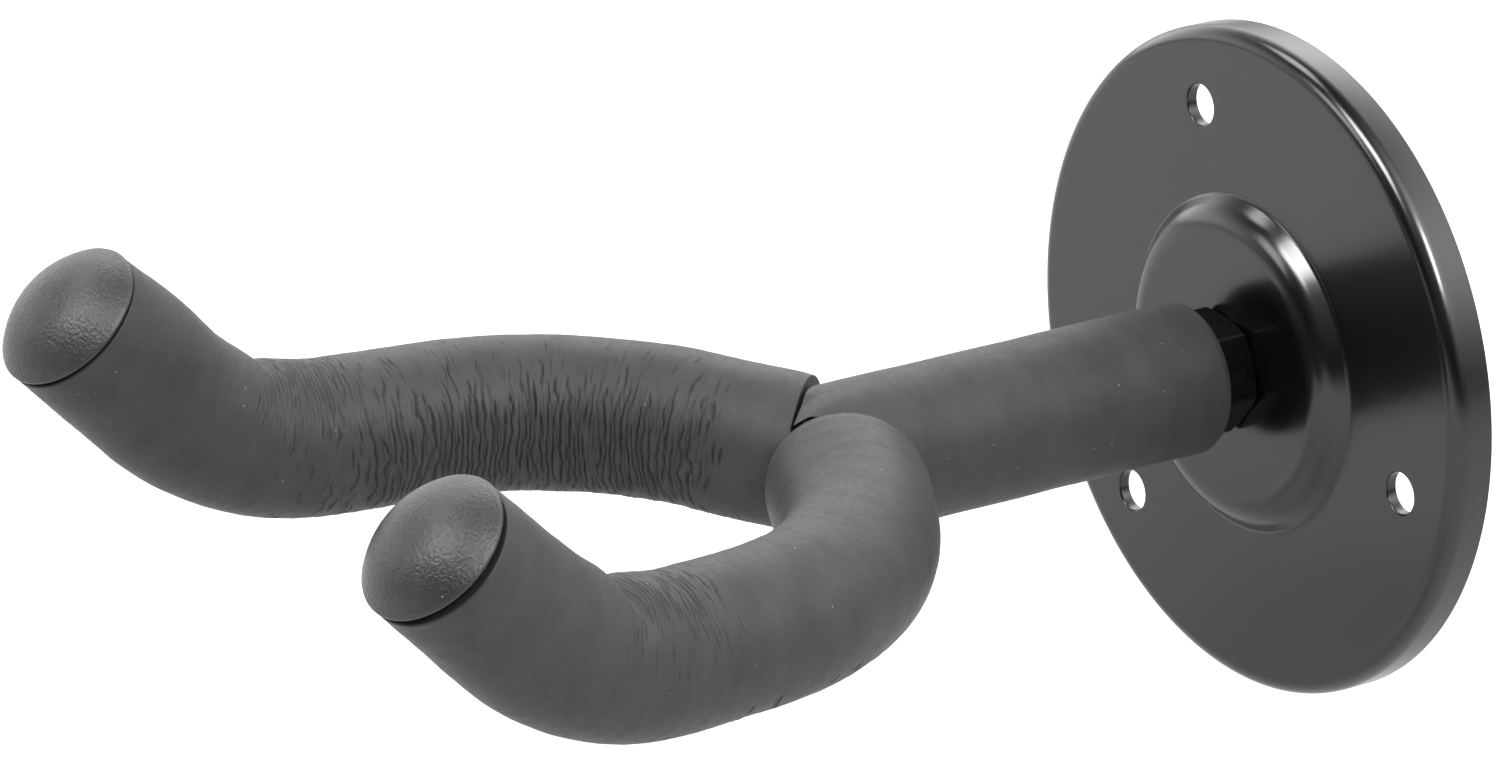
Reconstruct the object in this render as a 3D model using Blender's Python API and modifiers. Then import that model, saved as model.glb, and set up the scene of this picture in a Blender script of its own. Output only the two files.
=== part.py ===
"""Wall guitar hanger: a round wall plate, a stem that swivels in it, and a foam-covered yoke.

The origin is the middle of the plate's back, on the wall. -Y points away from the wall, +Z is up.
Distances from the wall are given as positive depths and placed at -Y.
"""

from math import atan2, cos, pi, radians, sin, sqrt, tan

import bmesh
import bpy
from mathutils import Matrix, Vector

MM = 0.001
GAP = 0.3 * MM          # between foam and what it covers
STEEL_GAP = 0.1 * MM    # between flat steel faces that touch

# wall plate, pressed from sheet
PLATE_RADIUS = 40 * MM
PLATE_DEPTH = 5.3 * MM
SHEET = 1.5 * MM
RIM_CORNER = 2 * MM
BOSS_RADIUS = 20.65 * MM
BOSS_HEIGHT = 2.8 * MM
BOSS_SLOPE = radians(51)
BOSS_SHOULDER = 4.5 * MM
BOSS_FILLET = 0.8 * MM
STEM_HOLE_RADIUS = 4.4 * MM
SCREW_HOLE_RADIUS = 2.5 * MM
SCREW_CIRCLE_RADIUS = 30.75 * MM
SCREW_HOLE_TURN = radians(19.6)   # the plate is screwed on at any turn, and the yoke is then levelled
SCREW_HOLES = 3

# steel bar and its M8 hardware
BAR_RADIUS = 4 * MM
NUT_ACROSS_FLATS = 13 * MM
FRONT_NUT_HEIGHT = 5 * MM
REAR_NUT_HEIGHT = 4 * MM
FRONT_NUT_TURN = radians(52.4)
REAR_NUT_TURN = radians(15)
THREAD_BORE_RADIUS = BAR_RADIUS + STEEL_GAP
WASHER_RADIUS = 8 * MM
WASHER_THICKNESS = 1.6 * MM

# foam
FOAM_RADIUS = 9 * MM
FOAM_BORE_RADIUS = BAR_RADIUS + GAP
FOAM_EDGE = 0.8 * MM

# yoke: the corners of the bar's middle line, and how it is bent there
JUNCTION_DEPTH = 63.1 * MM
SHOULDER = Vector((32.1, -79.9, 0)) * MM
ELBOW = Vector((36.6, -121.9, 0.5)) * MM
TIP = Vector((37.6, -142.1, 21)) * MM
CROTCH_BEND = 12 * MM
SHOULDER_BEND = 35 * MM
ELBOW_BEND = 31 * MM
BEND_STEP = radians(7)

# how far from the junction each arm's sleeve starts, how much longer its front is cut than its back,
# and how far short of the tip it ends
SLEEVE_START = {"left": 4.25 * MM, "right": 7.1 * MM}
SLEEVE_MITRE = {"left": radians(14), "right": radians(6)}
SLEEVE_SHORT = {"left": 0.3 * MM, "right": 1.2 * MM}

# end caps: mushroom heads on a spigot that plugs the foam's bore
CAP_RADIUS = 9.05 * MM
CAP_RIM = 0.45 * MM
CAP_DOME = 3.9 * MM
CAP_DOME_POWER = 2.5
SPIGOT_RADIUS = 3.7 * MM
SPIGOT_LENGTH = 6 * MM
CAP_LIFT = {"left": 0, "right": -0.6 * MM}
CAP_LEAN = {"left": 0, "right": radians(3.5)}   # the right cap is not pushed quite home

FRONT_DEPTH = PLATE_DEPTH + BOSS_HEIGHT
SIDES = 20


def clear_scene():
    for obj in list(bpy.data.objects):
        bpy.data.objects.remove(obj, do_unlink=True)


def new_collection(name):
    collection = bpy.data.collections.new(name)
    bpy.context.scene.collection.children.link(collection)
    return collection


def new_material(name, colour, roughness, metallic):
    material = bpy.data.materials.new(name)
    material.use_nodes = True
    shader = material.node_tree.nodes["Principled BSDF"]
    shader.inputs["Base Color"].default_value = (*colour, 1)
    shader.inputs["Roughness"].default_value = roughness
    shader.inputs["Metallic"].default_value = metallic
    return material


def add_object(name, mesh, collection, material=None):
    obj = bpy.data.objects.new(name, mesh)
    collection.objects.link(obj)
    if material:
        mesh.materials.append(material)
    return obj


def add_boolean(obj, other, operation="DIFFERENCE"):
    modifier = obj.modifiers.new(other.name, "BOOLEAN")
    modifier.operation = operation
    modifier.object = other


def as_cutter(obj):
    obj.hide_render = True
    obj.display_type = "WIRE"
    return obj


def arc(centre, radius, start, end, steps):
    """Points on an arc in the (radius, height) plane of a turned profile, angles measured from +X."""
    angles = [start + (end - start) * i / steps for i in range(steps + 1)]
    return [(centre[0] + radius * cos(a), centre[1] + radius * sin(a)) for a in angles]


def turned(name, profile, collection, material=None, steps=48, closed=False):
    """A profile of (radius, height) points, turned about Z, from the top of its outer side down."""
    mesh = bpy.data.meshes.new(name)
    count = len(profile)
    edges = [(i, i + 1) for i in range(count - 1)] + ([(count - 1, 0)] if closed else [])
    mesh.from_pydata([(r, 0, z) for r, z in profile], edges, [])
    obj = add_object(name, mesh, collection, material)
    screw = obj.modifiers.new("Turn", "SCREW")
    screw.axis = "Z"
    screw.angle = 2 * pi
    screw.steps = steps
    screw.render_steps = steps
    screw.use_merge_vertices = True
    screw.merge_threshold = 0.00001
    screw.use_smooth_shade = True
    return obj


def cylinder(name, radius, low, high, collection, material=None, sides=24):
    """A cylinder along Z from low to high."""
    mesh = bpy.data.meshes.new(name)
    shape = bmesh.new()
    middle = Matrix.Translation((0, 0, (low + high) / 2))
    bmesh.ops.create_cone(shape, cap_ends=True, segments=sides, radius1=radius, radius2=radius,
                          depth=high - low, matrix=middle)
    shape.to_mesh(mesh)
    shape.free()
    return add_object(name, mesh, collection, material)


def box(name, low, high, collection):
    mesh = bpy.data.meshes.new(name)
    shape = bmesh.new()
    size = Vector(high) - Vector(low)
    place = Matrix.Translation((Vector(low) + Vector(high)) / 2) @ Matrix.Diagonal((*size, 1))
    bmesh.ops.create_cube(shape, size=1, matrix=place)
    shape.to_mesh(mesh)
    shape.free()
    return add_object(name, mesh, collection)


def face_the_room(obj):
    """Turns an object made along +Z so that its +Z points away from the wall, along -Y."""
    obj.rotation_euler = (pi / 2, 0, 0)
    return obj


def bent_path(corners, bends):
    """A bar's middle line: straight runs between corners, with an arc of the given radius at each."""
    points = [corners[0]]
    for before, corner, after, bend in zip(corners, corners[1:], corners[2:], bends):
        along = (corner - before).normalized()
        onward = (after - corner).normalized()
        turn = along.angle(onward)
        inward = (onward - along * onward.dot(along)).normalized()
        start = corner - along * bend * tan(turn / 2)
        steps = max(3, round(turn / BEND_STEP))
        for i in range(steps + 1):
            a = turn * i / steps
            points.append(start + along * bend * sin(a) + inward * bend * (1 - cos(a)))
    return points + [corners[-1]]


def trimmed(points, start, short):
    """The path without its first and last stretches of these lengths."""
    def cut(path, length):
        for i, (a, b) in enumerate(zip(path, path[1:])):
            step = (b - a).length
            if length < step:
                return [a.lerp(b, length / step)] + path[i + 1:]
            length -= step
        return path
    return cut(cut(points, start)[::-1], short)[::-1]


def tube(name, points, radius, collection, material=None, sides=SIDES):
    """A solid round bar along the points, as a mesh with welded caps."""
    curve = bpy.data.curves.new(name, "CURVE")
    curve.dimensions = "3D"
    curve.bevel_depth = radius
    curve.bevel_resolution = sides // 2 - 2
    curve.use_fill_caps = True
    spline = curve.splines.new("POLY")
    spline.points.add(len(points) - 1)
    for point, place in zip(spline.points, points):
        point.co = (*place, 1)
    guide = bpy.data.objects.new(name + "_guide", curve)
    collection.objects.link(guide)
    mesh = bpy.data.meshes.new_from_object(guide.evaluated_get(bpy.context.evaluated_depsgraph_get()))
    bpy.data.objects.remove(guide)
    shape = bmesh.new()
    shape.from_mesh(mesh)
    bmesh.ops.remove_doubles(shape, verts=shape.verts, dist=0.000001)
    bmesh.ops.recalc_face_normals(shape, faces=shape.faces)
    shape.to_mesh(mesh)
    shape.free()
    mesh.name = name
    mesh.shade_smooth()
    mesh.set_sharp_from_angle(angle=radians(40))
    return add_object(name, mesh, collection, material)


def side_sign(side):
    return 1 if side == "right" else -1


def arm_corners(side):
    """The corners of one arm's middle line, from the junction to the tip."""
    mirror = Vector((side_sign(side), 1, 1))
    return [Vector((0, -JUNCTION_DEPTH, 0))] + [corner * mirror for corner in (SHOULDER, ELBOW, TIP)]


def yoke_path():
    """The middle line of the whole yoke bar, from the left tip to the right tip."""
    left = arm_corners("left")[::-1]
    right = arm_corners("right")
    bends = [ELBOW_BEND, SHOULDER_BEND, CROTCH_BEND, SHOULDER_BEND, ELBOW_BEND]
    return bent_path(left + right[1:], bends)


def arm_path(side):
    return bent_path(arm_corners(side), [SHOULDER_BEND, ELBOW_BEND])


def plate_profile():
    """The pressed sheet's section, (radius, depth from the wall), outer face first."""
    shoulder_run = BOSS_SHOULDER * sin(BOSS_SLOPE)
    fillet_run = BOSS_FILLET * sin(BOSS_SLOPE)
    wall_rise = BOSS_HEIGHT - (BOSS_SHOULDER + BOSS_FILLET) * (1 - cos(BOSS_SLOPE))
    flat_radius = BOSS_RADIUS - shoulder_run - fillet_run - wall_rise / tan(BOSS_SLOPE)
    shoulder = (flat_radius, FRONT_DEPTH - BOSS_SHOULDER)
    fillet = (BOSS_RADIUS, PLATE_DEPTH + BOSS_FILLET)
    corner = (PLATE_RADIUS - RIM_CORNER, PLATE_DEPTH - RIM_CORNER)
    quarter = pi / 2
    outer = [(STEM_HOLE_RADIUS, FRONT_DEPTH)]
    outer += arc(shoulder, BOSS_SHOULDER, quarter, quarter - BOSS_SLOPE, 5)
    outer += arc(fillet, BOSS_FILLET, -quarter - BOSS_SLOPE, -quarter, 3)
    outer += arc(corner, RIM_CORNER, quarter, 0, 5)
    outer += [(PLATE_RADIUS, 0)]
    inner = [(PLATE_RADIUS - SHEET, 0)] + arc(corner, RIM_CORNER - SHEET, 0, quarter, 2)
    inner += arc(fillet, BOSS_FILLET + SHEET, -quarter, -quarter - BOSS_SLOPE, 3)
    inner += arc(shoulder, BOSS_SHOULDER - SHEET, quarter - BOSS_SLOPE, quarter, 4)
    inner += [(STEM_HOLE_RADIUS, FRONT_DEPTH - SHEET)]
    return outer + inner


def screw_hole_angles():
    """Each screw hole's angle about the stem, from +X towards +Z."""
    return [pi / 2 + SCREW_HOLE_TURN + 2 * pi * i / SCREW_HOLES for i in range(SCREW_HOLES)]


def add_wall_plate(parts, cutters, paint):
    plate = face_the_room(turned("wall_plate", plate_profile(), parts, paint, steps=60, closed=True))
    for i, angle in enumerate(screw_hole_angles()):
        hole = cylinder(f"screw_hole_{i}", SCREW_HOLE_RADIUS, 0, 2 * PLATE_DEPTH, cutters)
        hole.location = (SCREW_CIRCLE_RADIUS * cos(angle), 0, SCREW_CIRCLE_RADIUS * sin(angle))
        add_boolean(plate, face_the_room(as_cutter(hole)))
    return plate


def add_nut(name, depth, height, turn, parts, cutters, steel):
    """An M8 nut whose rear face is at this depth, its corners rounded off to 30 degrees."""
    corner_radius = NUT_ACROSS_FLATS / sqrt(3)
    nut = cylinder(name, corner_radius, 0, height, parts, steel, sides=6)
    flat_radius = NUT_ACROSS_FLATS / 2
    drop = (corner_radius - flat_radius) * 1.3 * tan(radians(30))
    wide = corner_radius * 1.05
    chamfer = [(0, height), (flat_radius, height), (wide, height - drop), (wide, drop),
               (flat_radius, 0), (0, 0)]
    rounding = place_at(turned(name + "_chamfer", chamfer, cutters, steps=36), depth)
    add_boolean(nut, as_cutter(rounding), "INTERSECT")
    bore = cylinder(name + "_bore", THREAD_BORE_RADIUS, -height, 2 * height, cutters)
    add_boolean(nut, as_cutter(place_at(bore, depth)))
    place_at(nut, depth)
    first_corner = atan2(nut.data.vertices[0].co.y, nut.data.vertices[0].co.x)
    nut.data.transform(Matrix.Rotation(turn - first_corner, 4, "Z"))
    return nut


def place_at(obj, depth):
    """Stands an object made along +Z on the stem's axis, its zero at this distance from the wall."""
    face_the_room(obj)
    obj.location = (0, -depth, 0)
    return obj


def add_flat_washer(name, depth, parts, steel):
    profile = [(BAR_RADIUS + GAP, WASHER_THICKNESS), (WASHER_RADIUS, WASHER_THICKNESS), (WASHER_RADIUS, 0),
               (BAR_RADIUS + GAP, 0)]
    return place_at(turned(name, profile, parts, steel, steps=36, closed=True), depth)


def add_hardware(parts, cutters, steel):
    """The nuts and the washer on the stem's threaded end. Returns the depth of the rear nut's back."""
    add_nut("front_nut", FRONT_DEPTH + STEEL_GAP, FRONT_NUT_HEIGHT, FRONT_NUT_TURN, parts, cutters, steel)
    washer_depth = FRONT_DEPTH - SHEET - STEEL_GAP - WASHER_THICKNESS
    add_flat_washer("rear_washer", washer_depth, parts, steel)
    nut_depth = washer_depth - STEEL_GAP - REAR_NUT_HEIGHT
    add_nut("rear_nut", nut_depth, REAR_NUT_HEIGHT, REAR_NUT_TURN, parts, cutters, steel)
    return nut_depth


def add_bars(end_depth, parts, cutters, steel):
    """The stem bar, saddle-cut where it meets the yoke bar, and the bent yoke bar."""
    spigot_room = SPIGOT_LENGTH + 2 * GAP + SLEEVE_SHORT["right"]
    tube("yoke_bar", trimmed(yoke_path(), spigot_room, spigot_room), BAR_RADIUS, parts, steel, sides=12)
    stem = cylinder("stem_bar", BAR_RADIUS, end_depth, JUNCTION_DEPTH, parts, steel)
    face_the_room(stem)
    saddle = tube("saddle", yoke_path(), BAR_RADIUS + GAP, cutters, sides=16)
    add_boolean(stem, as_cutter(saddle))


def arm_direction(side):
    junction, shoulder = arm_corners(side)[:2]
    return (shoulder - junction).normalized()


def cut_start(obj, side, setback, cutters):
    """Cuts an arm's tube off at its mitre, this far back towards the junction."""
    out = arm_direction(side)
    room = 2 * FOAM_RADIUS
    cutter = box(obj.name + "_mitre", (-2 * room, -room, -room), (0, room, room), cutters)
    cutter.rotation_euler = (0, 0, atan2(out.y, out.x) - side_sign(side) * SLEEVE_MITRE[side])
    cutter.location = arm_corners(side)[0] + out * (SLEEVE_START[side] - setback)
    add_boolean(obj, as_cutter(cutter))


def add_arm_sleeve(side, parts, cutters, foam):
    path = trimmed(arm_path(side), SLEEVE_START[side] - FOAM_RADIUS / 3, SLEEVE_SHORT[side])
    sleeve = tube(side + "_sleeve", path, FOAM_RADIUS, parts, foam)
    cut_start(sleeve, side, 0, cutters)
    add_boolean(sleeve, cutters.objects["bar_space"])
    return sleeve


def add_stem_sleeve(parts, cutters, foam):
    """The stem's foam tube. Its front is cut to a point by the square ends of the arm sleeves."""
    start = FRONT_DEPTH + 2 * STEEL_GAP + FRONT_NUT_HEIGHT
    end = JUNCTION_DEPTH + 1.5 * FOAM_RADIUS
    profile = [(0, end), (FOAM_RADIUS, end)]
    profile += arc((FOAM_RADIUS - FOAM_EDGE, start + FOAM_EDGE), FOAM_EDGE, 0, -pi / 2, 3)
    profile += [(0, start)]
    sleeve = face_the_room(turned("stem_sleeve", profile, parts, foam, steps=SIDES * 2))
    room = 2 * FOAM_RADIUS
    junction = Vector((0, -JUNCTION_DEPTH, 0))
    crown = as_cutter(box("crown", (-room, -JUNCTION_DEPTH - MM, -room), (room, 0, room), cutters))
    for side in ("left", "right"):
        reach = arm_direction(side) * room
        knuckle = tube(side + "_knuckle", [junction - reach, junction + reach], FOAM_RADIUS, cutters)
        add_boolean(crown, as_cutter(knuckle), "UNION")
    add_boolean(sleeve, crown, "INTERSECT")
    for side in ("left", "right"):
        reach = arm_direction(side) * room
        arm_room = tube(side + "_arm_room", [junction - reach, junction + reach], FOAM_RADIUS + GAP, cutters)
        cut_start(arm_room, side, GAP, cutters)
        add_boolean(sleeve, as_cutter(arm_room))
    bore = face_the_room(cylinder("stem_space", FOAM_BORE_RADIUS, 0, end + MM, cutters, sides=16))
    add_boolean(sleeve, as_cutter(bore))
    add_boolean(sleeve, cutters.objects["bar_space"])
    return sleeve


def cap_profile():
    """Dome, rim and spigot, (radius, height above the rim's underside), top first."""
    steps = 7
    radii = [CAP_RADIUS * sin(pi / 2 * i / steps) for i in range(steps + 1)]
    dome = [(r, CAP_RIM + CAP_DOME * (1 - (r / CAP_RADIUS) ** CAP_DOME_POWER)) for r in radii]
    return dome + [(CAP_RADIUS, 0.1 * MM), (CAP_RADIUS - CAP_RIM, 0), (SPIGOT_RADIUS, 0),
                   (SPIGOT_RADIUS, -SPIGOT_LENGTH), (0, -SPIGOT_LENGTH)]


def add_cap(side, parts, rubber):
    cap = turned(side + "_cap", cap_profile(), parts, rubber, steps=32)
    corners = arm_corners(side)
    out = (corners[-1] - corners[-2]).normalized()
    inward = Vector((-side_sign(side), 0, 0))
    lean_axis = out.cross(inward).normalized()
    axis = Matrix.Rotation(CAP_LEAN[side], 3, lean_axis) @ out
    cap.rotation_euler = axis.to_track_quat("Z", "Y").to_euler()
    cap.location = corners[-1] + out * CAP_LIFT[side]
    return cap


def main():
    clear_scene()
    parts = new_collection("wall_guitar_hanger")
    cutters = new_collection("cutters")
    paint = new_material("satin_black_paint", (0.02, 0.02, 0.022), 0.3, 0)
    steel = new_material("black_steel", (0.03, 0.03, 0.032), 0.45, 0.8)
    foam = new_material("grey_black_foam", (0.085, 0.087, 0.092), 0.9, 0)
    rubber = new_material("cap_rubber", (0.1, 0.11, 0.115), 0.7, 0)
    as_cutter(tube("bar_space", yoke_path(), FOAM_BORE_RADIUS, cutters, sides=12))
    add_wall_plate(parts, cutters, paint)
    bar_end = add_hardware(parts, cutters, steel)
    add_bars(bar_end, parts, cutters, steel)
    add_stem_sleeve(parts, cutters, foam)
    for side in ("left", "right"):
        add_arm_sleeve(side, parts, cutters, foam)
        add_cap(side, parts, rubber)


main()
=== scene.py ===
from math import cos, exp, pi, radians, sin, sqrt, tan

import bmesh
import bpy
import numpy as np
from mathutils import Matrix, Vector, noise


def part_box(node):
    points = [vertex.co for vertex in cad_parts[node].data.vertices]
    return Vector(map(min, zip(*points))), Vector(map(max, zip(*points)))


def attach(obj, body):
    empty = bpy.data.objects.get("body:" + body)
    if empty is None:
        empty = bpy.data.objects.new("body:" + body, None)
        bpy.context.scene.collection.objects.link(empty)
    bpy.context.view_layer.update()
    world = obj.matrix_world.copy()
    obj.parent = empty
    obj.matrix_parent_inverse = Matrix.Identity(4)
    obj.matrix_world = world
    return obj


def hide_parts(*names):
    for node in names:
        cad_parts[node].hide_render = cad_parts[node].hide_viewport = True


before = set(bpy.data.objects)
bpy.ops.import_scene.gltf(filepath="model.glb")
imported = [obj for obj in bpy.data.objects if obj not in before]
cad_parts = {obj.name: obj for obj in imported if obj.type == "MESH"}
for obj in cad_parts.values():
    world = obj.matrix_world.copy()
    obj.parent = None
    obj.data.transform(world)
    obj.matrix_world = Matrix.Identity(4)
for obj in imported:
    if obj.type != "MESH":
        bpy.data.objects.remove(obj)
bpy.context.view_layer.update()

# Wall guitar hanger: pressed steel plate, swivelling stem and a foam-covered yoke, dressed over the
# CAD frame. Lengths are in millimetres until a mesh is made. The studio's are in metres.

MM = 0.001

# Shapes that the visual pieces share with the CAD. SHOULDER, ELBOW and TIP are the corners of the
# right arm's middle line.
FOAM_RADIUS = 9
BORE_RADIUS = 4.3
GAP = 0.3
JUNCTION_DEPTH = 63.1
SHOULDER = (32.1, -79.9, 0)
ELBOW = (36.6, -121.9, 0.5)
TIP = (37.6, -142.1, 21)
SHOULDER_BEND, ELBOW_BEND = 35, 31
SLEEVE_START = {"left": 4.25, "right": 7.1}
SLEEVE_LEAN = {"left": radians(14), "right": radians(6)}
STEM_START = -1000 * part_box("stem_sleeve")[1][1]

# The seams: how far the stem's foam stays from each sleeve, how much more per mm above the middle,
# and how far each sleeve ends before the end of its arm.
SEAM = {"left": 0.12, "right": 0.62}
WEDGE = {"left": 0.055, "right": 0}
SLEEVE_SHORT = {"left": 0.65, "right": 1.2}

CAP_RADIUS = 9.05
CAP_RIM = 0.45
CAP_CORNER = 0.16
CAP_DOME = 3.9
CAP_POWER = 2.5
COLLAR_RADIUS = 7.6
COLLAR_DEPTH = 1.6
SPIGOT_RADIUS = 3.7
SPIGOT_LENGTH = 6
# How far each cap is pushed out, how much it leans, and towards what angle, from up towards inward.
CAP_LIFT = {"left": -0.25, "right": -0.6}
CAP_TILT = {"left": radians(1.4), "right": radians(3.6)}
CAP_TILT_TOWARDS = {"left": radians(6), "right": radians(62)}

PLATE_RADIUS = 40
PLATE_DEPTH = 5.3
SHEET = 1.5
RIM_CORNER = 2.0
BOSS_RADIUS = 20.65
BOSS_HEIGHT = 2.8
BOSS_SLOPE = radians(51)
BOSS_SHOULDER = 4.5
BOSS_FILLET = 0.8
STEM_HOLE_RADIUS = 4.4
SCREW_HOLE_RADIUS = 2.5
SCREW_HOLE_EASE = 0.22
SCREW_CIRCLE_RADIUS = 30.75
SCREW_HOLE_TURN = radians(19.6)

NUT_ACROSS_FLATS = 13
NUT_HEIGHT = 5
NUT_TURN = radians(52.4)
NUT_BORE_RADIUS = 4.1
NUT_CHAMFER = radians(30)
NUT_DEPTH = -1000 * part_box("front_nut")[1][1]

# Edges turn sharp at these angles between faces.
SHARP, SHARP_ON_PLATE, SHARP_ON_NUT = radians(40), radians(15), radians(35)

# How fine the meshes are: rings along an arm where it is creased and elsewhere, and points round
# each shape.
FINE_RING, COARSE_RING = 0.125, 0.45
CREASED = (8, 82)
ROUND_SLEEVE, ROUND_STEM, ROUND_NUT = 128, 240, 360
ROUND_CAP, ROUND_PLATE, ROUND_HOLE = 112, 256, 56

# Where the foam is creased and, more softly, streaked: (start, full, fading, end) along an arm, the
# angle of the middle from up towards inward, and how far the creases spread from it.
SHOULDER_CREASES = {"left": (9, 17, 52, 78), "right": (18, 28, 52, 78)}
SHOULDER_STREAKS = {"left": (9, 20, 50, 78), "right": (16, 26, 50, 78)}
SHOULDER_MIDDLE = {"left": pi / 2 + 0.12, "right": pi / 2 + 0.75}
SHOULDER_SPREAD = 0.72
ELBOW_CREASES = (57, 65, 74, 82)
ELBOW_STREAKS = (58, 70, 78, 88)
ELBOW_MIDDLE = {"left": 0.35, "right": -0.35}
ELBOW_SPREAD = 0.52
DEEPEST_CREASE = 0.34

# The fold on top of each elbow: its place along the arm, the swelling beside it, and how deep and
# wide it is.
FOLD_AT = 75
SWELLING = {"left": 0.4, "right": 1.0}
FOLD_DEPTH = {"left": 0.95, "right": 2.1}
FOLD_WIDTH = 2.2

DUST_COLOUR = (0.4, 0.4, 0.4)
EXPOSURE, GAMMA = 0.12, 0.75
FLOOR_DEPTH, FLOOR_RADIUS, FLOOR_ALBEDO = 0.06, 8, 0.62


# ---------------------------------------------------------------- node materials

def new_material(name):
    material = bpy.data.materials.new(name)
    material.use_nodes = True
    return material, material.node_tree, material.node_tree.nodes["Principled BSDF"]


def attribute(tree, name, output="Fac"):
    node = tree.nodes.new("ShaderNodeAttribute")
    node.attribute_name = name
    return node.outputs[output]


def stretched(tree, source, scale):
    node = tree.nodes.new("ShaderNodeMapping")
    node.inputs["Scale"].default_value = scale
    tree.links.new(source, node.inputs["Vector"])
    return node.outputs["Vector"]


def noise_of(tree, vector, scale, detail=2.0, roughness=0.5):
    node = tree.nodes.new("ShaderNodeTexNoise")
    node.inputs["Scale"].default_value = scale
    node.inputs["Detail"].default_value = detail
    node.inputs["Roughness"].default_value = roughness
    tree.links.new(vector, node.inputs["Vector"])
    return node.outputs["Fac"]


def ranged(tree, value, low, high, to_low=0.0, to_high=1.0):
    node = tree.nodes.new("ShaderNodeMapRange")
    node.inputs["From Min"].default_value = low
    node.inputs["From Max"].default_value = high
    node.inputs["To Min"].default_value = to_low
    node.inputs["To Max"].default_value = to_high
    tree.links.new(value, node.inputs["Value"])
    return node.outputs["Result"]


def maths(tree, operation, first, second):
    node = tree.nodes.new("ShaderNodeMath")
    node.operation = operation
    for socket, value in zip(node.inputs, (first, second)):
        if isinstance(value, (int, float)):
            socket.default_value = value
        else:
            tree.links.new(value, socket)
    return node.outputs["Value"]


def mixed(tree, factor, first, second):
    """Two colours, mixed by a factor. A colour is an (r, g, b) or another node's output."""
    node = tree.nodes.new("ShaderNodeMix")
    node.data_type = "RGBA"
    tree.links.new(factor, node.inputs["Factor"])
    for socket, value in ((node.inputs[6], first), (node.inputs[7], second)):
        if isinstance(value, tuple):
            socket.default_value = (*value, 1)
        else:
            tree.links.new(value, socket)
    return node.outputs[2]


def bumped(tree, height, strength, distance, normal=None):
    node = tree.nodes.new("ShaderNodeBump")
    node.inputs["Strength"].default_value = strength
    node.inputs["Distance"].default_value = distance * MM
    tree.links.new(height, node.inputs["Height"])
    if normal:
        tree.links.new(normal, node.inputs["Normal"])
    return node.outputs["Normal"]


def specks(tree, vector, per_mm, size, keep):
    """1 on sparse small specks of dust, else 0. keep is the share of the cells that hold one."""
    cells = tree.nodes.new("ShaderNodeTexVoronoi")
    cells.inputs["Scale"].default_value = per_mm
    tree.links.new(vector, cells.inputs["Vector"])
    split = tree.nodes.new("ShaderNodeSeparateColor")
    tree.links.new(cells.outputs["Color"], split.inputs["Color"])
    near = ranged(tree, cells.outputs["Distance"], size, size * 0.4)
    chosen = maths(tree, "LESS_THAN", split.outputs["Red"], keep)
    return maths(tree, "MULTIPLY", near, chosen)


def position_mm(tree):
    """The point in millimetres, in the object's own coordinates, so it moves with the piece."""
    node = tree.nodes.new("ShaderNodeTexCoord")
    return stretched(tree, node.outputs["Object"], (1000, 1000, 1000))


def foam_material():
    material, tree, shader = new_material("nitrile_foam")
    place = position_mm(tree)
    wrap = attribute(tree, "wrap", "Vector")
    wrinkled = attribute(tree, "wrinkled")
    # painted shade: how dark each crack's bottom is painted, read from the mesh
    crease_shade = attribute(tree, "crease_shade")
    mottle = ranged(tree, noise_of(tree, place, 0.22, 4, 0.62), 0.3, 0.7)
    along_wrap = stretched(tree, wrap, (0.45, 0.1, 0.1))
    scuff = ranged(tree, noise_of(tree, along_wrap, 1, 3), 0.35, 0.7)
    streak = noise_of(tree, stretched(tree, wrap, (3.2, 0.34, 0.34)), 1, 3, 0.55)
    colour = mixed(tree, mottle, (0.0447, 0.0455, 0.0478), (0.0568, 0.0575, 0.0598))
    colour = mixed(tree, maths(tree, "MULTIPLY", scuff, 0.35), colour, (0.067, 0.069, 0.0715))
    # painted shade: the valleys of the ripples in the wrinkled zones are painted a little darker
    streak_shade = maths(tree, "MULTIPLY", ranged(tree, streak, 0.5, 0.3), wrinkled)
    colour = mixed(tree, maths(tree, "MULTIPLY", streak_shade, 0.14), colour, (0.04, 0.04, 0.043))
    # painted shade: the cracks' bottoms are painted near-black, standing in for the shade inside
    # them
    colour = mixed(tree, maths(tree, "MULTIPLY", crease_shade, 0.7), colour, (0.006, 0.006, 0.007))
    dust = specks(tree, place, 0.8, 0.11, 0.055)
    lint = specks(tree, stretched(tree, place, (1.7, 0.8, 1.1)), 0.7, 0.085, 0.03)
    dust = maths(tree, "MAXIMUM", dust, lint)
    colour = mixed(tree, maths(tree, "MULTIPLY", dust, 0.45), colour, DUST_COLOUR)
    tree.links.new(colour, shader.inputs["Base Color"])
    rough = ranged(tree, noise_of(tree, place, 1.3, 2), 0.3, 0.7, 0.46, 0.56)
    tree.links.new(rough, shader.inputs["Roughness"])
    shader.inputs["IOR"].default_value = 1.4
    shader.inputs["Specular IOR Level"].default_value = 0.5
    shader.inputs["Sheen Weight"].default_value = 0.06
    shader.inputs["Sheen Roughness"].default_value = 0.45
    grain = bumped(tree, noise_of(tree, place, 6.5, 3, 0.6), 0.35, 0.03)
    ripple = maths(tree, "MULTIPLY", streak, wrinkled)
    tree.links.new(bumped(tree, ripple, 1.0, 0.09, grain), shader.inputs["Normal"])
    return material


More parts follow.
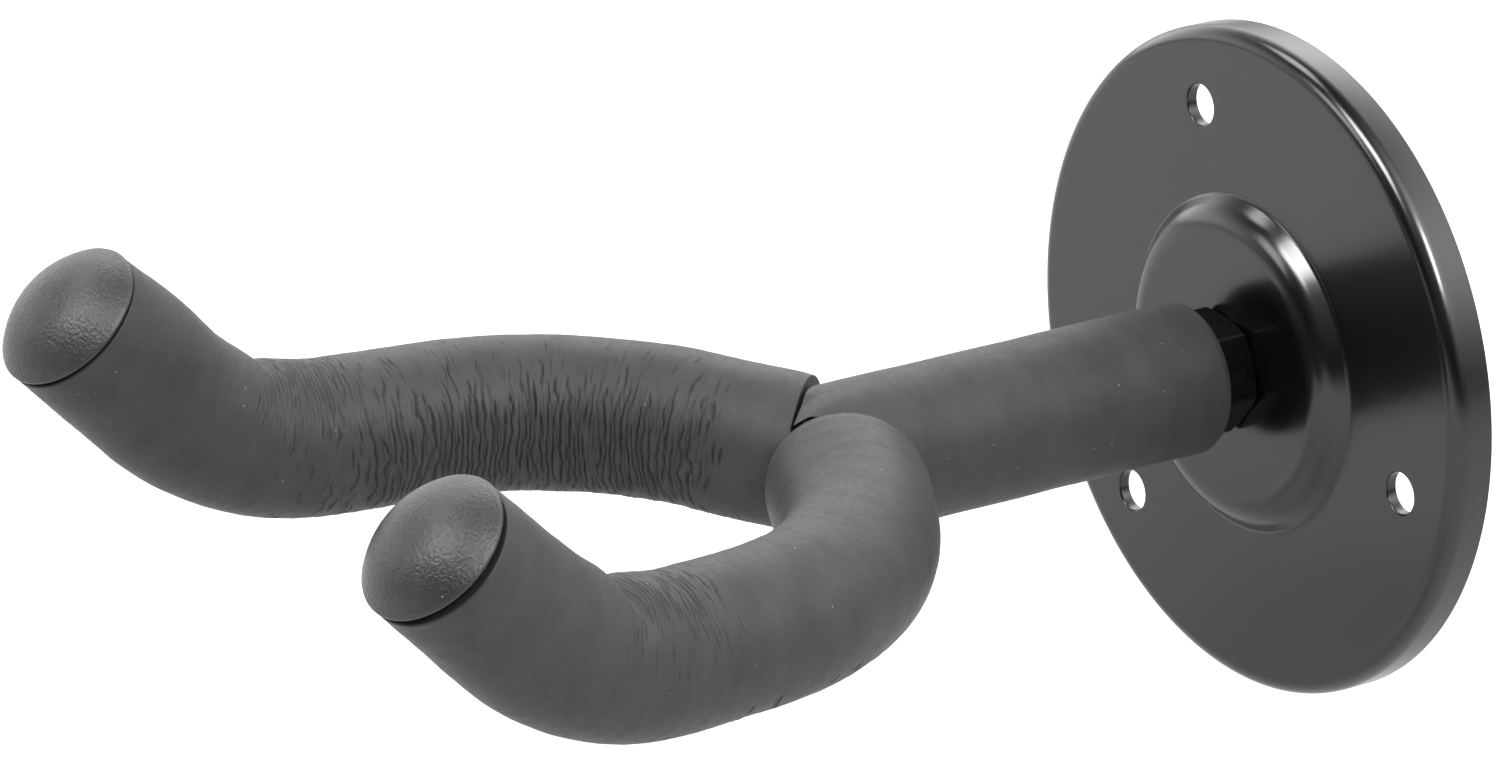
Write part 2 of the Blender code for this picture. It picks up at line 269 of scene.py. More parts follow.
def cap_material():
    material, tree, shader = new_material("moulded_rubber")
    place = position_mm(tree)
    mottle = ranged(tree, noise_of(tree, place, 0.3, 3, 0.6), 0.3, 0.7)
    colour = mixed(tree, mottle, (0.029, 0.031, 0.033), (0.039, 0.0415, 0.044))
    dust = specks(tree, place, 0.8, 0.11, 0.08)
    colour = mixed(tree, maths(tree, "MULTIPLY", dust, 0.5), colour, DUST_COLOUR)
    tree.links.new(colour, shader.inputs["Base Color"])
    grain = noise_of(tree, place, 2.6, 3, 0.6)
    tree.links.new(ranged(tree, grain, 0.3, 0.7, 0.27, 0.39), shader.inputs["Roughness"])
    shader.inputs["IOR"].default_value = 1.6
    tree.links.new(bumped(tree, grain, 1.0, 0.12), shader.inputs["Normal"])
    return material


def paint_material():
    material, tree, shader = new_material("satin_black_paint")
    place = position_mm(tree)
    dust = specks(tree, place, 0.8, 0.1, 0.05)
    mottle = ranged(tree, noise_of(tree, place, 0.1, 3), 0.3, 0.7)
    colour = mixed(tree, mottle, (0.0035, 0.0035, 0.0038), (0.0055, 0.0052, 0.0052))
    colour = mixed(tree, maths(tree, "MULTIPLY", dust, 0.4), colour, (0.3, 0.3, 0.3))
    tree.links.new(colour, shader.inputs["Base Color"])
    haze = ranged(tree, noise_of(tree, place, 0.12, 4, 0.6), 0.3, 0.7, 0.19, 0.23)
    tree.links.new(haze, shader.inputs["Roughness"])
    shader.inputs["IOR"].default_value = 1.8
    peel = bumped(tree, noise_of(tree, place, 0.9, 2), 0.12, 0.02)
    tree.links.new(peel, shader.inputs["Normal"])
    return material


def steel_material():
    material, tree, shader = new_material("black_oxide_steel")
    place = position_mm(tree)
    worn = ranged(tree, noise_of(tree, place, 0.6, 4, 0.65), 0.35, 0.75)
    colour = mixed(tree, worn, (0.003, 0.003, 0.0033), (0.008, 0.0077, 0.0075))
    tree.links.new(colour, shader.inputs["Base Color"])
    tree.links.new(ranged(tree, worn, 0, 1, 0.26, 0.36), shader.inputs["Roughness"])
    grain = noise_of(tree, place, 5, 2)
    tree.links.new(bumped(tree, grain, 0.2, 0.02), shader.inputs["Normal"])
    return material


# ---------------------------------------------------------------- meshes

def link(name, mesh, material):
    obj = bpy.data.objects.new(name, mesh)
    bpy.context.scene.collection.objects.link(obj)
    mesh.materials.append(material)
    return obj


def grid_mesh(name, points, flip, attributes):
    """A closed mesh from a grid of points that wraps both ways."""
    rows, columns = points.shape[:2]
    i, j = np.meshgrid(np.arange(rows), np.arange(columns), indexing="ij")
    ahead, beside = (i + 1) % rows, (j + 1) % columns
    corners = [i * columns + j, i * columns + beside, ahead * columns + beside, ahead * columns + j]
    faces = np.stack(corners[::-1] if flip else corners, axis=-1).reshape(-1)
    mesh = bpy.data.meshes.new(name)
    mesh.vertices.add(rows * columns)
    mesh.vertices.foreach_set("co", (points * MM).reshape(-1))
    mesh.loops.add(len(faces))
    mesh.loops.foreach_set("vertex_index", faces)
    mesh.polygons.add(rows * columns)
    mesh.polygons.foreach_set("loop_start", np.arange(0, len(faces), 4))
    mesh.update(calc_edges=True)
    for key, values in attributes.items():
        kind, field = ("FLOAT_VECTOR", "vector") if values.ndim == 3 else ("FLOAT", "value")
        layer = mesh.attributes.new(key, kind, "POINT")
        layer.data.foreach_set(field, values.astype(np.float32).reshape(-1))
    mesh.shade_smooth()
    return mesh


def arc(centre, radius, start, end, steps):
    angles = [start + (end - start) * i / steps for i in range(steps + 1)]
    return [(centre[0] + radius * cos(a), centre[1] + radius * sin(a)) for a in angles]


def turned_mesh(name, profile, segments, closed=False):
    """A profile of (radius, height) points turned about Z. An end on the axis closes to a point."""
    shape = bmesh.new()
    rings = []
    for radius, height in profile:
        if radius < 1e-6:
            rings.append([shape.verts.new((0, 0, height * MM))])
            continue
        turns = [2 * pi * k / segments for k in range(segments)]
        ring = [(radius * MM * cos(t), radius * MM * sin(t), height * MM) for t in turns]
        rings.append([shape.verts.new(point) for point in ring])
    pairs = list(zip(rings, rings[1:])) + ([(rings[-1], rings[0])] if closed else [])
    for upper, lower in pairs:
        for k in range(segments):
            onward = k + 1
            corners = [upper[k % len(upper)], lower[k % len(lower)],
                       lower[onward % len(lower)], upper[onward % len(upper)]]
            shape.faces.new(list(dict.fromkeys(corners)))
    bmesh.ops.recalc_face_normals(shape, faces=shape.faces)
    mesh = bpy.data.meshes.new(name)
    shape.to_mesh(mesh)
    shape.free()
    mesh.shade_smooth()
    mesh.set_sharp_from_angle(angle=SHARP)
    return mesh


def cut(obj, cutter):
    """Cuts one closed mesh from another and applies it."""
    modifier = obj.modifiers.new("cut", "BOOLEAN")
    modifier.operation = "DIFFERENCE"
    modifier.object = cutter
    depsgraph = bpy.context.evaluated_depsgraph_get()
    mesh = bpy.data.meshes.new_from_object(obj.evaluated_get(depsgraph))
    obj.modifiers.clear()
    obj.data = mesh
    bpy.data.objects.remove(cutter)


# ---------------------------------------------------------------- the yoke's middle line

def unit(vector):
    return vector / np.linalg.norm(vector)


def bent_line(corners, bends, step=0.1):
    """Closely spaced points and directions on straight runs joined by arcs."""
    points, directions = [], []
    at = corners[0]
    for before, corner, after, bend in zip(corners, corners[1:], corners[2:], bends):
        along, onward = unit(corner - before), unit(after - corner)
        turn = np.arccos(along @ onward)
        inward = unit(onward - along * (onward @ along))
        start = corner - along * bend * tan(turn / 2)
        for k in np.arange(0, np.linalg.norm(start - at), step):
            points.append(at + along * k)
            directions.append(along)
        for a in np.arange(0, turn, step / bend):
            points.append(start + along * bend * sin(a) + inward * bend * (1 - cos(a)))
            directions.append(along * cos(a) + inward * sin(a))
        at = corner + onward * bend * tan(turn / 2)
    run = np.linalg.norm(corners[-1] - at)
    for k in np.linspace(0, run, int(run / step) + 2):
        points.append(at + onward * k)
        directions.append(onward)
    return np.array(points), np.array(directions)


class Arm:
    """One arm's middle line, with the directions up and inward, towards the other arm, along it."""

    def __init__(self, side):
        self.side = side
        self.sign = 1 if side == "right" else -1
        mirror = np.array([self.sign, 1, 1])
        junction = np.array([0, -JUNCTION_DEPTH, 0])
        self.corners = [junction] + [np.array(c) * mirror for c in (SHOULDER, ELBOW, TIP)]
        self.points, self.ahead = bent_line(self.corners, [SHOULDER_BEND, ELBOW_BEND])
        steps = np.linalg.norm(np.diff(self.points, axis=0), axis=1)
        self.lengths = np.concatenate([[0], np.cumsum(steps)])
        self.length = self.lengths[-1]
        ups = [np.array([0, 0, 1.0])]
        for direction in self.ahead[1:]:
            ups.append(unit(ups[-1] - direction * (ups[-1] @ direction)))
        self.up = np.array(ups)
        self.inward = np.cross(self.ahead, self.up) * self.sign

    def at(self, s, table):
        """The table's rows at these distances, with the ends carried on."""
        return np.stack([np.interp(s, self.lengths, table[:, k]) for k in range(3)], axis=-1)

    def place(self, s, radius, angle):
        """Points at distance s along, radius out, and angle from up towards inward."""
        before = np.minimum(s, 0)[..., None] * self.ahead[0]
        out = np.cos(angle)[..., None] * self.at(s, self.up)
        out = out + np.sin(angle)[..., None] * self.at(s, self.inward)
        return self.at(s, self.points) + before + radius[..., None] * out


# ---------------------------------------------------------------- foam relief

def smooth_step(value, low, high):
    t = np.clip((value - low) / (high - low), 0, 1)
    return t * t * (3 - 2 * t)


def window(value, rise, full, fade, end):
    return smooth_step(value, rise, full) * (1 - smooth_step(value, fade, end))


def turned_to(angle, centre):
    """The angle from a centre, between -pi and pi."""
    return (angle - centre + pi) % (2 * pi) - pi


def bell(value, width):
    return np.exp(-0.5 * (value / width) ** 2)


class Relief:
    """A sleeve's radial height over a grid of s and angle, the painted shade of its cracks, and how
    wrinkled it is.
    """

    # the noise that bends the cracks: (amount, sign of its offset, scale along, scale across)
    WANDER = (1.1, 1, 0.3, 0.16), (0.45, -1, 0.8, 0.55), (0.16, 1, 1.6, 1.5)
    # a crack this deep, or deeper, has its groove painted fully dark, as painted shade
    DARK_DEPTH = 0.16

    def __init__(self, s, angle):
        self.s, self.angle = s, angle
        self.height = np.zeros((len(s), len(angle)))
        self.crease_shade = np.zeros_like(self.height)
        self.wrinkled = np.zeros_like(self.height)

    def cracks(self, spacing, strength, depth, width, offset):
        """Fine cracks that wander round the sleeve, fading in and out. strength says how many."""
        ring = [(FOAM_RADIUS * cos(a), FOAM_RADIUS * sin(a)) for a in self.angle]
        darkness = min(1, depth / self.DARK_DEPTH)
        for i, s in enumerate(self.s):
            for j, (y, z) in enumerate(ring):
                if strength[i, j] < 0.04:
                    continue
                phase = s / spacing
                for amount, shift, along, across in self.WANDER:
                    place = Vector((s * along + shift * offset, y * across, z * across))
                    phase += amount * noise.noise(place)
                line = round(phase)
                shown = noise.noise(Vector((line * 7.31 + offset, y * 0.34, z * 0.34)))
                shown = min(1, (shown + strength[i, j] - 0.4) / 0.3)
                if shown <= 0:
                    continue
                away = abs(phase - line) * spacing / width
                groove = shown * exp(-0.5 * away ** 2)
                lip = shown * exp(-0.5 * ((away - 2.8) / 1.2) ** 2)
                self.height[i, j] += depth * (0.3 * lip - groove)
                # painted shade: the groove's share, fullest in the deepest cracks, later darkens
                # the foam's colour there
                self.crease_shade[i, j] = max(self.crease_shade[i, j], groove * darkness)

    def wave(self, amount, s_scale, angle_scale, offset):
        """Low swells, from smooth noise that joins up round the sleeve."""
        for i, s in enumerate(self.s):
            for j, a in enumerate(self.angle):
                place = Vector((s * s_scale + offset, cos(a) * angle_scale, sin(a) * angle_scale))
                self.height[i, j] += amount * noise.noise(place)


def sleeve_rows(start, end, near_edge=0.15, edge=0.22):
    """(s, radius) of a closed sleeve's rings, and how many are the near edge and the outside."""
    outside = []
    s = start + near_edge
    while s < end - edge:
        outside.append((s, FOAM_RADIUS))
        s += FINE_RING if CREASED[0] < s < CREASED[1] else COARSE_RING
    far = arc((end - edge, FOAM_RADIUS - edge), edge, pi / 2, 0, 5)
    dished = [(end - 0.08, 8.2), (end - 0.35, 7.6), (end - 1, 6.8), (end - 1.6, 5.4)]
    bore = [(s, BORE_RADIUS) for s in np.linspace(end - 1.8, start, 30)]
    near_face = [(start, r) for r in (5.2, 6.4, 7.6)]
    near = arc((start + near_edge, FOAM_RADIUS - near_edge), near_edge, pi, pi / 2, 5)[:-1]
    return np.array(near + outside + far + dished + bore + near_face), len(near), len(outside)


def facing_of(around, middle):
    """1 on the side that faces this angle, fading to 0 round the back."""
    return np.clip(np.cos(turned_to(around, middle)) + 0.2, 0, 1) ** 0.8


def arm_relief(arm, s, angle):
    """Creases on the inner side of the shoulder bend and elbow, where the foam is squeezed."""
    side = arm.side
    relief = Relief(s, angle)
    around, along = angle[None, :], s[:, None]
    facing = bell(turned_to(around, SHOULDER_MIDDLE[side]), SHOULDER_SPREAD)
    shoulder = window(along, *SHOULDER_CREASES[side]) * facing
    facing = bell(turned_to(around, ELBOW_MIDDLE[side]), ELBOW_SPREAD)
    elbow = window(along, *ELBOW_CREASES) * facing * 0.8
    # the offsets only keep the sets of cracks, and the two arms, from looking alike
    apart = 20 if side == "right" else 0
    for spacing, strength, depth, width, offset in (
            (0.95, shoulder, 0.2, 0.085, 3), (0.62, shoulder * 0.8, 0.09, 0.07, 11),
            (0.7, elbow, 0.1, 0.07, 5), (0.5, elbow * 0.8, 0.06, 0.07, 8)):
        relief.cracks(spacing, strength, depth, width, offset + apart)
    relief.height = np.maximum(relief.height, -DEEPEST_CREASE)
    streaks = window(along, *SHOULDER_STREAKS[side]) * facing_of(around, SHOULDER_MIDDLE[side])
    streaks = streaks + window(along, *ELBOW_STREAKS) * facing_of(around, ELBOW_MIDDLE[side])
    relief.wrinkled = np.clip(streaks, 0, 1)

    top_side = np.clip(np.cos(around), 0, 1)
    past = along - FOLD_AT
    relief.height += SWELLING[side] * bell(past, np.where(past > 0, 12, 8)) * top_side ** 2
    fold = np.exp(0.2 - np.sqrt((past / FOLD_WIDTH) ** 2 + 0.04))
    relief.height -= FOLD_DEPTH[side] * fold * top_side ** 3
    if side == "left":
        relief.height += 0.45 * bell(along - 93, 4) * top_side ** 1.5
    return relief


def make_arm_sleeve(arm, material):
    side = arm.side
    start, end = SLEEVE_START[side], arm.length - SLEEVE_SHORT[side]
    rows, first, count = sleeve_rows(start, end)
    outside = slice(first, first + count)
    angle = np.arange(ROUND_SLEEVE) * 2 * pi / ROUND_SLEEVE
    relief = arm_relief(arm, rows[outside, 0], angle)
    relief.wave(0.1, 0.16, 1.1, 3 * arm.sign)
    relief.wave(0.035, 0.7, 2.6, 9 * arm.sign)
    ends = window(relief.s, start, start + 1.2, end - 1.2, end)[:, None]
    height = relief.height * ends
    radius = np.repeat(rows[:, 1][:, None], ROUND_SLEEVE, axis=1)
    if side == "right":
        # this sleeve's start swells a little where it is pushed against the stem's foam
        height += 0.26 * window(relief.s, start, start + 2, start + 4, start + 14)[:, None]
        radius[:first] += 0.04
    radius[outside] += height
    # the crease mask holds the cracks' painted shade, faded out at the sleeve's ends
    crease_shade, wrinkled = np.zeros_like(radius), np.zeros_like(radius)
    crease_shade[outside] = relief.crease_shade * ends
    wrinkled[outside] = relief.wrinkled * ends
    s = np.repeat(rows[:, 0][:, None], ROUND_SLEEVE, axis=1)
    around = np.repeat(angle[None, :], len(rows), axis=0)
    # the square start leans a little, so that its front is longer than its back
    lean = -tan(SLEEVE_LEAN[side]) * radius * np.sin(around)
    shift = lean * (1 - smooth_step(s, start, start + 15))
    points = arm.place(s + shift, radius, around)
    wrap = np.stack([s, FOAM_RADIUS * np.cos(around), FOAM_RADIUS * np.sin(around)], axis=-1)
    attributes = {"wrap": wrap, "crease_shade": crease_shade, "wrinkled": wrinkled}
    mesh = grid_mesh(side + "_foam", points, arm.sign < 0, attributes)
    return link(side + "_foam", mesh, material)


# ---------------------------------------------------------------- stem foam

def soft_least(first, second, blend):
    """The smaller of two, with the corner between them rounded off over about this much."""
    h = np.clip(0.5 + 0.5 * (second - first) / blend, 0, 1)
    return second * (1 - h) + first * h - blend * h * (1 - h)


def stem_end(x, z, out):
    """How far past the junction the stem's foam reaches at (x, z) before it meets a sleeve."""
    ends = []
    for side, sign in (("right", 1), ("left", -1)):
        across = sign * x
        lean = tan(SLEEVE_LEAN[side])
        start = SLEEVE_START[side] - SEAM[side] - WEDGE[side] * np.clip(z, 0, None)
        square = (start + lean * out[1] * across - out[0] * across) / (out[1] + lean * out[0])
        room = np.sqrt(np.clip((FOAM_RADIUS + GAP) ** 2 - z ** 2, 0, None))
        ends.append(np.maximum(square, (out[1] * across - room) / out[0]))
    return np.minimum(*ends)


def stem_rows(x1, z1, out):
    """Depth and radius of the rings of the stem's foam: rear edge, outside, cut and bore."""
    rear_edge, nose, recess = 0.9, 0.08, 1.4
    rows = []

    def end_depth(radius):
        return JUNCTION_DEPTH + stem_end(x1 * radius, z1 * radius, out)

    def add(depth, radius):
        rows.append((depth + np.zeros(len(x1)), radius + np.zeros(len(x1))))

    outside_start = STEM_START + rear_edge
    for r, d in reversed(arc((FOAM_RADIUS - rear_edge, outside_start), rear_edge, 0, -pi / 2, 7)):
        add(d, r)
    front = end_depth(FOAM_RADIUS) - nose
    for t in np.linspace(0, 1, 130)[1:]:
        add(outside_start + (front - outside_start) * t, FOAM_RADIUS)
    for r, rise in arc((FOAM_RADIUS - nose, 0), nose, 0, pi / 2, 4)[1:]:
        add(end_depth(r) - nose + rise, r)
    # under its skin the cut recedes, so that the seams are dark
    for r in (8.8, 8.65, 8.5, 8.3, *np.linspace(8, BORE_RADIUS, 7)):
        add(end_depth(r) - recess * smooth_step(FOAM_RADIUS - nose - r, 0, 0.55), r)
    last = rows[-1][0]
    for t in np.linspace(0, 1, 12)[1:]:
        add(last + (STEM_START - last) * t, BORE_RADIUS)
    return np.array([depth for depth, _ in rows]), np.array([radius for _, radius in rows])


def make_stem_sleeve(material):
    shoulder = np.array(SHOULDER) + (0, JUNCTION_DEPTH, 0)
    out = (unit(shoulder)[0], -unit(shoulder)[1])
    angle = np.arange(ROUND_STEM) * 2 * pi / ROUND_STEM
    x1, z1 = np.cos(angle), np.sin(angle)
    depth, radius = stem_rows(x1, z1, out)
    for i in range(len(depth)):
        for j in range(ROUND_STEM):
            if radius[i, j] > FOAM_RADIUS - 0.01:
                place = Vector((depth[i, j] * 0.16, x1[j] * 1.1, z1[j] * 1.1 + 7))
                radius[i, j] += 0.09 * noise.noise(place)
    x, z = x1 * radius, z1 * radius
    # past the junction the foam is kept within the arms' own round outline, eased in over 4 mm
    past = depth - JUNCTION_DEPTH
    lateral = np.minimum(np.abs(out[1] * x - out[0] * past), np.abs(-out[1] * x - out[0] * past))
    crown = np.sqrt(np.clip(FOAM_RADIUS ** 2 - lateral ** 2, 0.01, None))
    capped = soft_least(np.abs(z), crown + 0.12, 0.5)
    eased = np.abs(z) + (capped - np.abs(z)) * np.clip((past + 2) / 4, 0, 1)
    z = np.where(past > -2, np.sign(z) * eased, z)
    points = np.stack([x, -depth, z], axis=-1)
    plain = np.zeros_like(depth)
    wrap = np.stack([depth, FOAM_RADIUS * (x1 + plain), FOAM_RADIUS * (z1 + plain)], axis=-1)
    mesh = grid_mesh("stem_foam", points, False, {"wrap": wrap, "crease_shade": plain, "wrinkled": plain})
    return link("stem_foam", mesh, material)


# ---------------------------------------------------------------- caps, plate and nut

def cap_profile():
    """(radius, height) of the dome, rim, underside, collar and spigot."""
    edge, floor, lead = CAP_RADIUS - CAP_CORNER, -COLLAR_DEPTH, 0.4
    radii = [edge * sin(pi / 2 * i / 40) for i in range(41)]
    dome = [(r, CAP_RIM + CAP_DOME * (1 - (r / CAP_RADIUS) ** CAP_POWER)) for r in radii]
    rim = arc((edge, CAP_RIM - CAP_CORNER), CAP_CORNER, radians(50), 0, 5)
    under = arc((edge, CAP_CORNER), CAP_CORNER, 0, -pi / 2, 4)
    collar = [(COLLAR_RADIUS, 0), (COLLAR_RADIUS, floor), (SPIGOT_RADIUS + lead, floor)]
    spigot = [(SPIGOT_RADIUS, floor - lead), (SPIGOT_RADIUS, -SPIGOT_LENGTH + 0.5),
              (SPIGOT_RADIUS - 0.5, -SPIGOT_LENGTH), (0, -SPIGOT_LENGTH)]
    return dome + rim + under + collar + spigot


def make_cap(side, arm, material):
    mesh = turned_mesh(side + "_end_cap", cap_profile(), ROUND_CAP)
    cap = link(side + "_end_cap", mesh, material)
    out = Vector(unit(arm.corners[-1] - arm.corners[-2]))
    up, inward = Vector(arm.up[-1]), Vector(arm.inward[-1])
    towards = up * cos(CAP_TILT_TOWARDS[side]) + inward * sin(CAP_TILT_TOWARDS[side])
    axis = Matrix.Rotation(CAP_TILT[side], 3, out.cross(towards).normalized()) @ out
    place = Matrix.Translation((Vector(arm.corners[-1]) + out * CAP_LIFT[side]) * MM)
    cap.data.transform(place @ axis.to_track_quat("Z", "Y").to_matrix().to_4x4())
    return cap


def plate_profile():
    """The sheet's section, (radius, depth), outer face first. guard's rings keep it flat."""
    front = PLATE_DEPTH + BOSS_HEIGHT
    run = (BOSS_SHOULDER + BOSS_FILLET) * sin(BOSS_SLOPE)
    rise = BOSS_HEIGHT - (BOSS_SHOULDER + BOSS_FILLET) * (1 - cos(BOSS_SLOPE))
    flat = BOSS_RADIUS - run - rise / tan(BOSS_SLOPE)
    shoulder, fillet = (flat, front - BOSS_SHOULDER), (BOSS_RADIUS, PLATE_DEPTH + BOSS_FILLET)
    corner = (PLATE_RADIUS - RIM_CORNER, PLATE_DEPTH - RIM_CORNER)
    quarter, guard = pi / 2, 0.08
    outer = [(STEM_HOLE_RADIUS, front), (flat - guard, front)]
    outer += arc(shoulder, BOSS_SHOULDER, quarter, quarter - BOSS_SLOPE, 18)
    outer += arc(fillet, BOSS_FILLET, -quarter - BOSS_SLOPE, -quarter, 8)
    outer += [(BOSS_RADIUS + guard, PLATE_DEPTH), (PLATE_RADIUS - RIM_CORNER - guard, PLATE_DEPTH)]
    outer += arc(corner, RIM_CORNER, quarter, 0, 14) + [(PLATE_RADIUS, corner[1] - guard)]
    outer += arc((PLATE_RADIUS - 0.25, 0.25), 0.25, 0, -quarter, 8)
    inner = arc((PLATE_RADIUS - SHEET + 0.2, 0.2), 0.2, -quarter, -pi, 8)
    inner += arc(corner, RIM_CORNER - SHEET, 0, quarter, 8)
    inner += [(BOSS_RADIUS + guard, PLATE_DEPTH - SHEET)]
    inner += arc(fillet, BOSS_FILLET + SHEET, -quarter, -quarter - BOSS_SLOPE, 8)
    inner += arc(shoulder, BOSS_SHOULDER - SHEET, quarter - BOSS_SLOPE, quarter, 10)
    inner += [(STEM_HOLE_RADIUS, front - SHEET)]
    return outer + inner


def hole_cutter(name):
    """A screw hole with its front and back edges eased, starting at an angle to the plate."""
    front, back = PLATE_DEPTH, PLATE_DEPTH - SHEET
    ease, skew, beyond, quarter = SCREW_HOLE_EASE, 0.35, 1, pi / 2
    open_radius = SCREW_HOLE_RADIUS + ease
    wide = open_radius + 0.3
    profile = [(0, front + beyond), (wide, front + beyond)]
    profile += arc((open_radius, front - ease), ease, quarter + skew, pi, 8)
    profile += arc((open_radius, back + ease), ease, pi, 3 * quarter - skew, 8)
    profile += [(wide, back - beyond), (0, back - beyond)]
    return turned_mesh(name, profile, ROUND_HOLE)


def make_plate(material):
    facing = Matrix.Rotation(pi / 2, 4, "X")
    mesh = turned_mesh("pressed_plate", plate_profile(), ROUND_PLATE, closed=True)
    plate = link("pressed_plate", mesh, material)
    plate.data.transform(facing)
    for k in range(3):
        angle = pi / 2 + SCREW_HOLE_TURN + 2 * pi * k / 3
        place = Vector((SCREW_CIRCLE_RADIUS * cos(angle), 0, SCREW_CIRCLE_RADIUS * sin(angle))) * MM
        hole = link("hole", hole_cutter("hole"), material)
        hole.data.transform(Matrix.Translation(place) @ facing)
        cut(plate, hole)
    plate.data.set_sharp_from_angle(angle=SHARP_ON_PLATE)
    return plate


def make_nut(material):
    """The hexagon nut before the boss: corners eased, both faces chamfered."""
    flat = NUT_ACROSS_FLATS / 2
    corner = NUT_ACROSS_FLATS / sqrt(3)
    drop = (corner - flat) * tan(NUT_CHAMFER) * 1.3
    angles = np.arange(ROUND_NUT) * 2 * pi / ROUND_NUT
    from_flat = np.abs((angles - NUT_TURN) % (pi / 3) - pi / 6)
    hexagon = flat / np.cos(np.minimum(from_flat, radians(28.9)))
    face = [(NUT_BORE_RADIUS, 0.35), (NUT_BORE_RADIUS + 0.35, 0), (flat * 0.96, 0)]
    heights = [drop * step for step in (0, 0.25, 0.5, 0.75, 1, 1.2)]
    heights = heights + [NUT_HEIGHT - h for h in reversed(heights)]
    rings = list(face)
    for h in heights:
        inset = min(h, NUT_HEIGHT - h)
        rings.append((np.minimum(hexagon, flat * 0.985 + inset / tan(NUT_CHAMFER)), h))
    rings += [(r, NUT_HEIGHT - h) for r, h in reversed(face)]
    points = []
    for r, h in rings:
        depth = np.full(ROUND_NUT, -NUT_DEPTH - h)
        points.append(np.stack([r * np.cos(angles), depth, r * np.sin(angles)], axis=-1))
    mesh = grid_mesh("hexagon_nut", np.array(points), False, {})
    mesh.set_sharp_from_angle(angle=SHARP_ON_NUT)
    return link("hexagon_nut", mesh, material)


# ---------------------------------------------------------------- studio

def aim(obj, place, target):
    obj.location = place
    obj.rotation_euler = (Vector(target) - Vector(place)).to_track_quat("-Z", "Y").to_euler()


def add_softbox(name, azimuth, elevation, distance, size, radiance, target=(0, -0.06, 0)):
    """A square soft light. Azimuth is from +X towards +Y."""
    light = bpy.data.lights.new(name, "AREA")
    light.shape = "RECTANGLE"
    light.size, light.size_y = size
    light.energy = radiance * pi * size[0] * size[1]
    lamp = bpy.data.objects.new(name, light)
    bpy.context.scene.collection.objects.link(lamp)
    a, e = radians(azimuth), radians(elevation)
    place = Vector(target) + distance * Vector((cos(a) * cos(e), sin(a) * cos(e), sin(e)))
    aim(lamp, place, target)
    return lamp


def add_world():
    """A dark room with wide soft glows, most behind the hanger: azimuth, elevation, radiance."""
    glows = [(138, 33, 3.3), (58, 32, 1.9), (18, 38, 2.6), (0, 65, 2.4), (98, 35, 1.8),
             (180, 5, 2.6), (216, 5, 1.8), (-62, 35, 0.5), (72, 5, 1.1)]
    sharpness = 12.0
    world = bpy.data.worlds.new("studio")
    bpy.context.scene.world = world
    world.use_nodes = True
    tree = world.node_tree
    background = tree.nodes["Background"]
    direction = tree.nodes.new("ShaderNodeTexCoord")
    total = 0.0
    for azimuth, elevation, radiance in glows:
        a, e = radians(azimuth), radians(elevation)
        facing = tree.nodes.new("ShaderNodeVectorMath")
        facing.operation = "DOT_PRODUCT"
        facing.inputs[1].default_value = (cos(a) * cos(e), sin(a) * cos(e), sin(e))
        tree.links.new(direction.outputs["Generated"], facing.inputs[0])
        away = maths(tree, "SUBTRACT", facing.outputs["Value"], 1.0)
        falloff = maths(tree, "EXPONENT", maths(tree, "MULTIPLY", away, sharpness), 0.0)
        glow = maths(tree, "MULTIPLY", falloff, radiance)
        total = maths(tree, "ADD", glow, total)
    tree.links.new(total, background.inputs["Color"])
    background.inputs["Strength"].default_value = 1


def add_floor():
    material, tree, shader = new_material("studio_floor")
    shader.inputs["Base Color"].default_value = (FLOOR_ALBEDO, FLOOR_ALBEDO, FLOOR_ALBEDO, 1)
    shader.inputs["Roughness"].default_value = 0.9
    shader.inputs["Specular IOR Level"].default_value = 0.1
    mesh = bpy.data.meshes.new("studio_floor")
    shape = bmesh.new()
    bmesh.ops.create_circle(shape, cap_ends=True, segments=64, radius=FLOOR_RADIUS)
    shape.to_mesh(mesh)
    shape.free()
    floor = link("studio_floor", mesh, material)
    floor.location = (0, 0, -FLOOR_DEPTH)


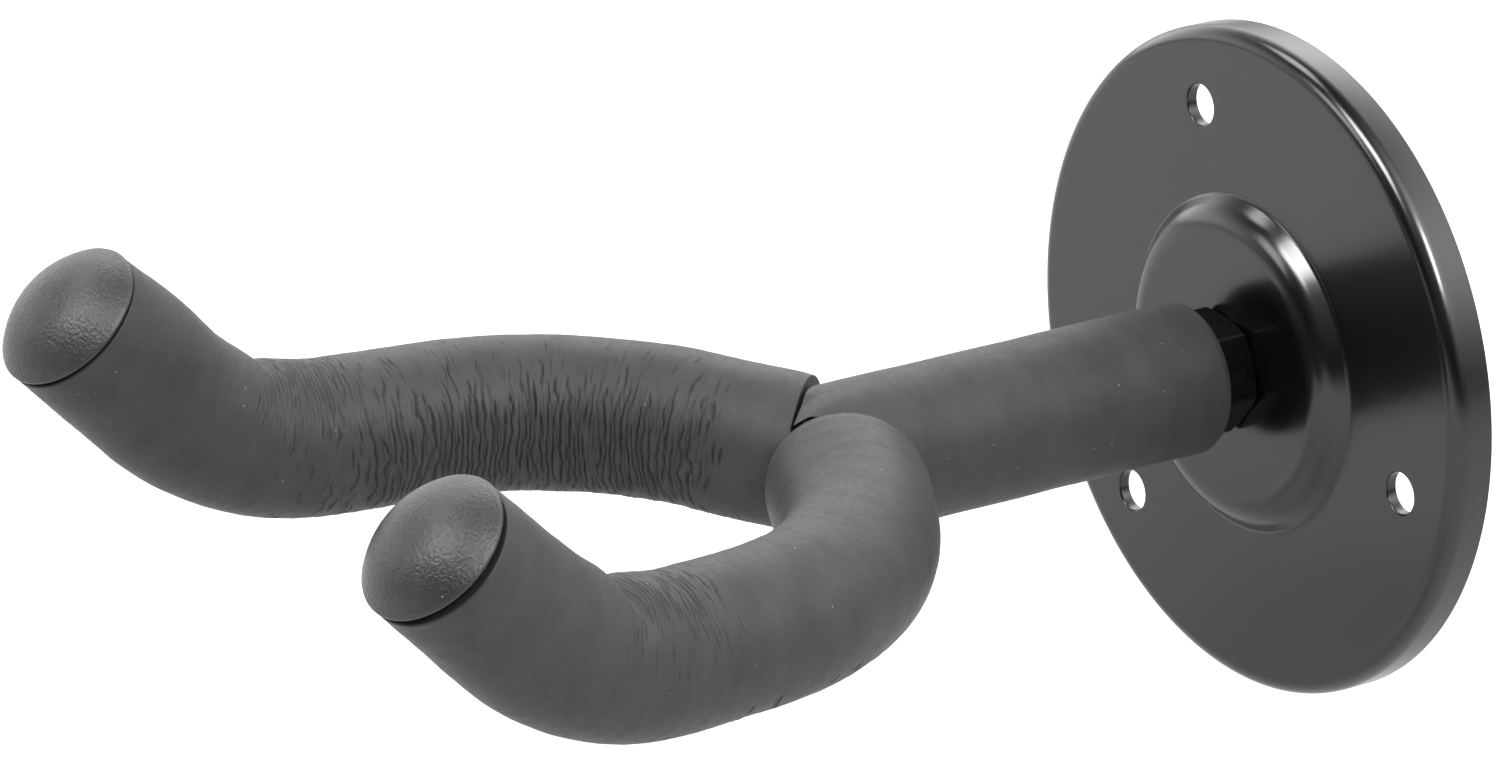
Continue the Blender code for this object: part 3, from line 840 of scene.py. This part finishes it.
def add_camera():
    """The photograph's viewpoint. Azimuth is from straight in front of the hanger towards +X."""
    azimuth, elevation, roll = radians(55.033), radians(22.218), radians(1.587)
    target = Vector((-34.003, -51.770, -4.418)) * MM
    distance = 1.031406
    ahead = Vector((-sin(azimuth) * cos(elevation), cos(azimuth) * cos(elevation), -sin(elevation)))
    right = Vector((cos(azimuth), sin(azimuth), 0))
    up = right.cross(ahead)
    across = right * cos(roll) + up * sin(roll)
    upward = up * cos(roll) - right * sin(roll)
    data = bpy.data.cameras.new("photo_view")
    data.sensor_width = 36
    data.lens = 210.726
    data.clip_start, data.clip_end = 0.1, 30
    camera = bpy.data.objects.new("photo_view", data)
    bpy.context.scene.collection.objects.link(camera)
    turn = Matrix((across, upward, -ahead)).transposed()
    camera.matrix_world = Matrix.Translation(target - ahead * distance) @ turn.to_4x4()
    bpy.context.scene.camera = camera


def dress(node, material):
    """Gives a CAD node this material."""
    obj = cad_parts[node]
    if not obj.material_slots:
        obj.data.materials.append(material)
    for slot in obj.material_slots:
        slot.material = material


def place_piece(piece, body, node):
    """Declares a piece: the body it moves with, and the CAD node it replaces."""
    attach(piece, body)
    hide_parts(node)


def main():
    foam, rubber = foam_material(), cap_material()
    paint, steel = paint_material(), steel_material()
    for side in ("left", "right"):
        arm = Arm(side)
        place_piece(make_arm_sleeve(arm, foam), "yoke", side + "_sleeve")
        place_piece(make_cap(side, arm, rubber), "yoke", side + "_cap")
    place_piece(make_stem_sleeve(foam), "yoke", "stem_sleeve")
    place_piece(make_nut(steel), "yoke", "front_nut")
    place_piece(make_plate(paint), "plate", "wall_plate")
    for node in ("stem_bar", "yoke_bar", "rear_nut", "rear_washer"):
        dress(node, steel)
    add_world()
    add_floor()
    for name, azimuth, elevation, size, radiance in (
            ("soft_left", -91, 53, (0.5, 0.38), 13), ("soft_front", -116, 29, (0.36, 0.36), 4.5),
            ("soft_side", -160, 55, (0.4, 0.4), 5.6), ("soft_right", -5, 44, (0.36, 0.36), 15)):
        add_softbox(name, azimuth, elevation, 1.1, size, radiance)
    add_camera()
    view = bpy.context.scene.view_settings
    view.view_transform = "Standard"
    view.exposure = EXPOSURE
    view.gamma = GAMMA


main()
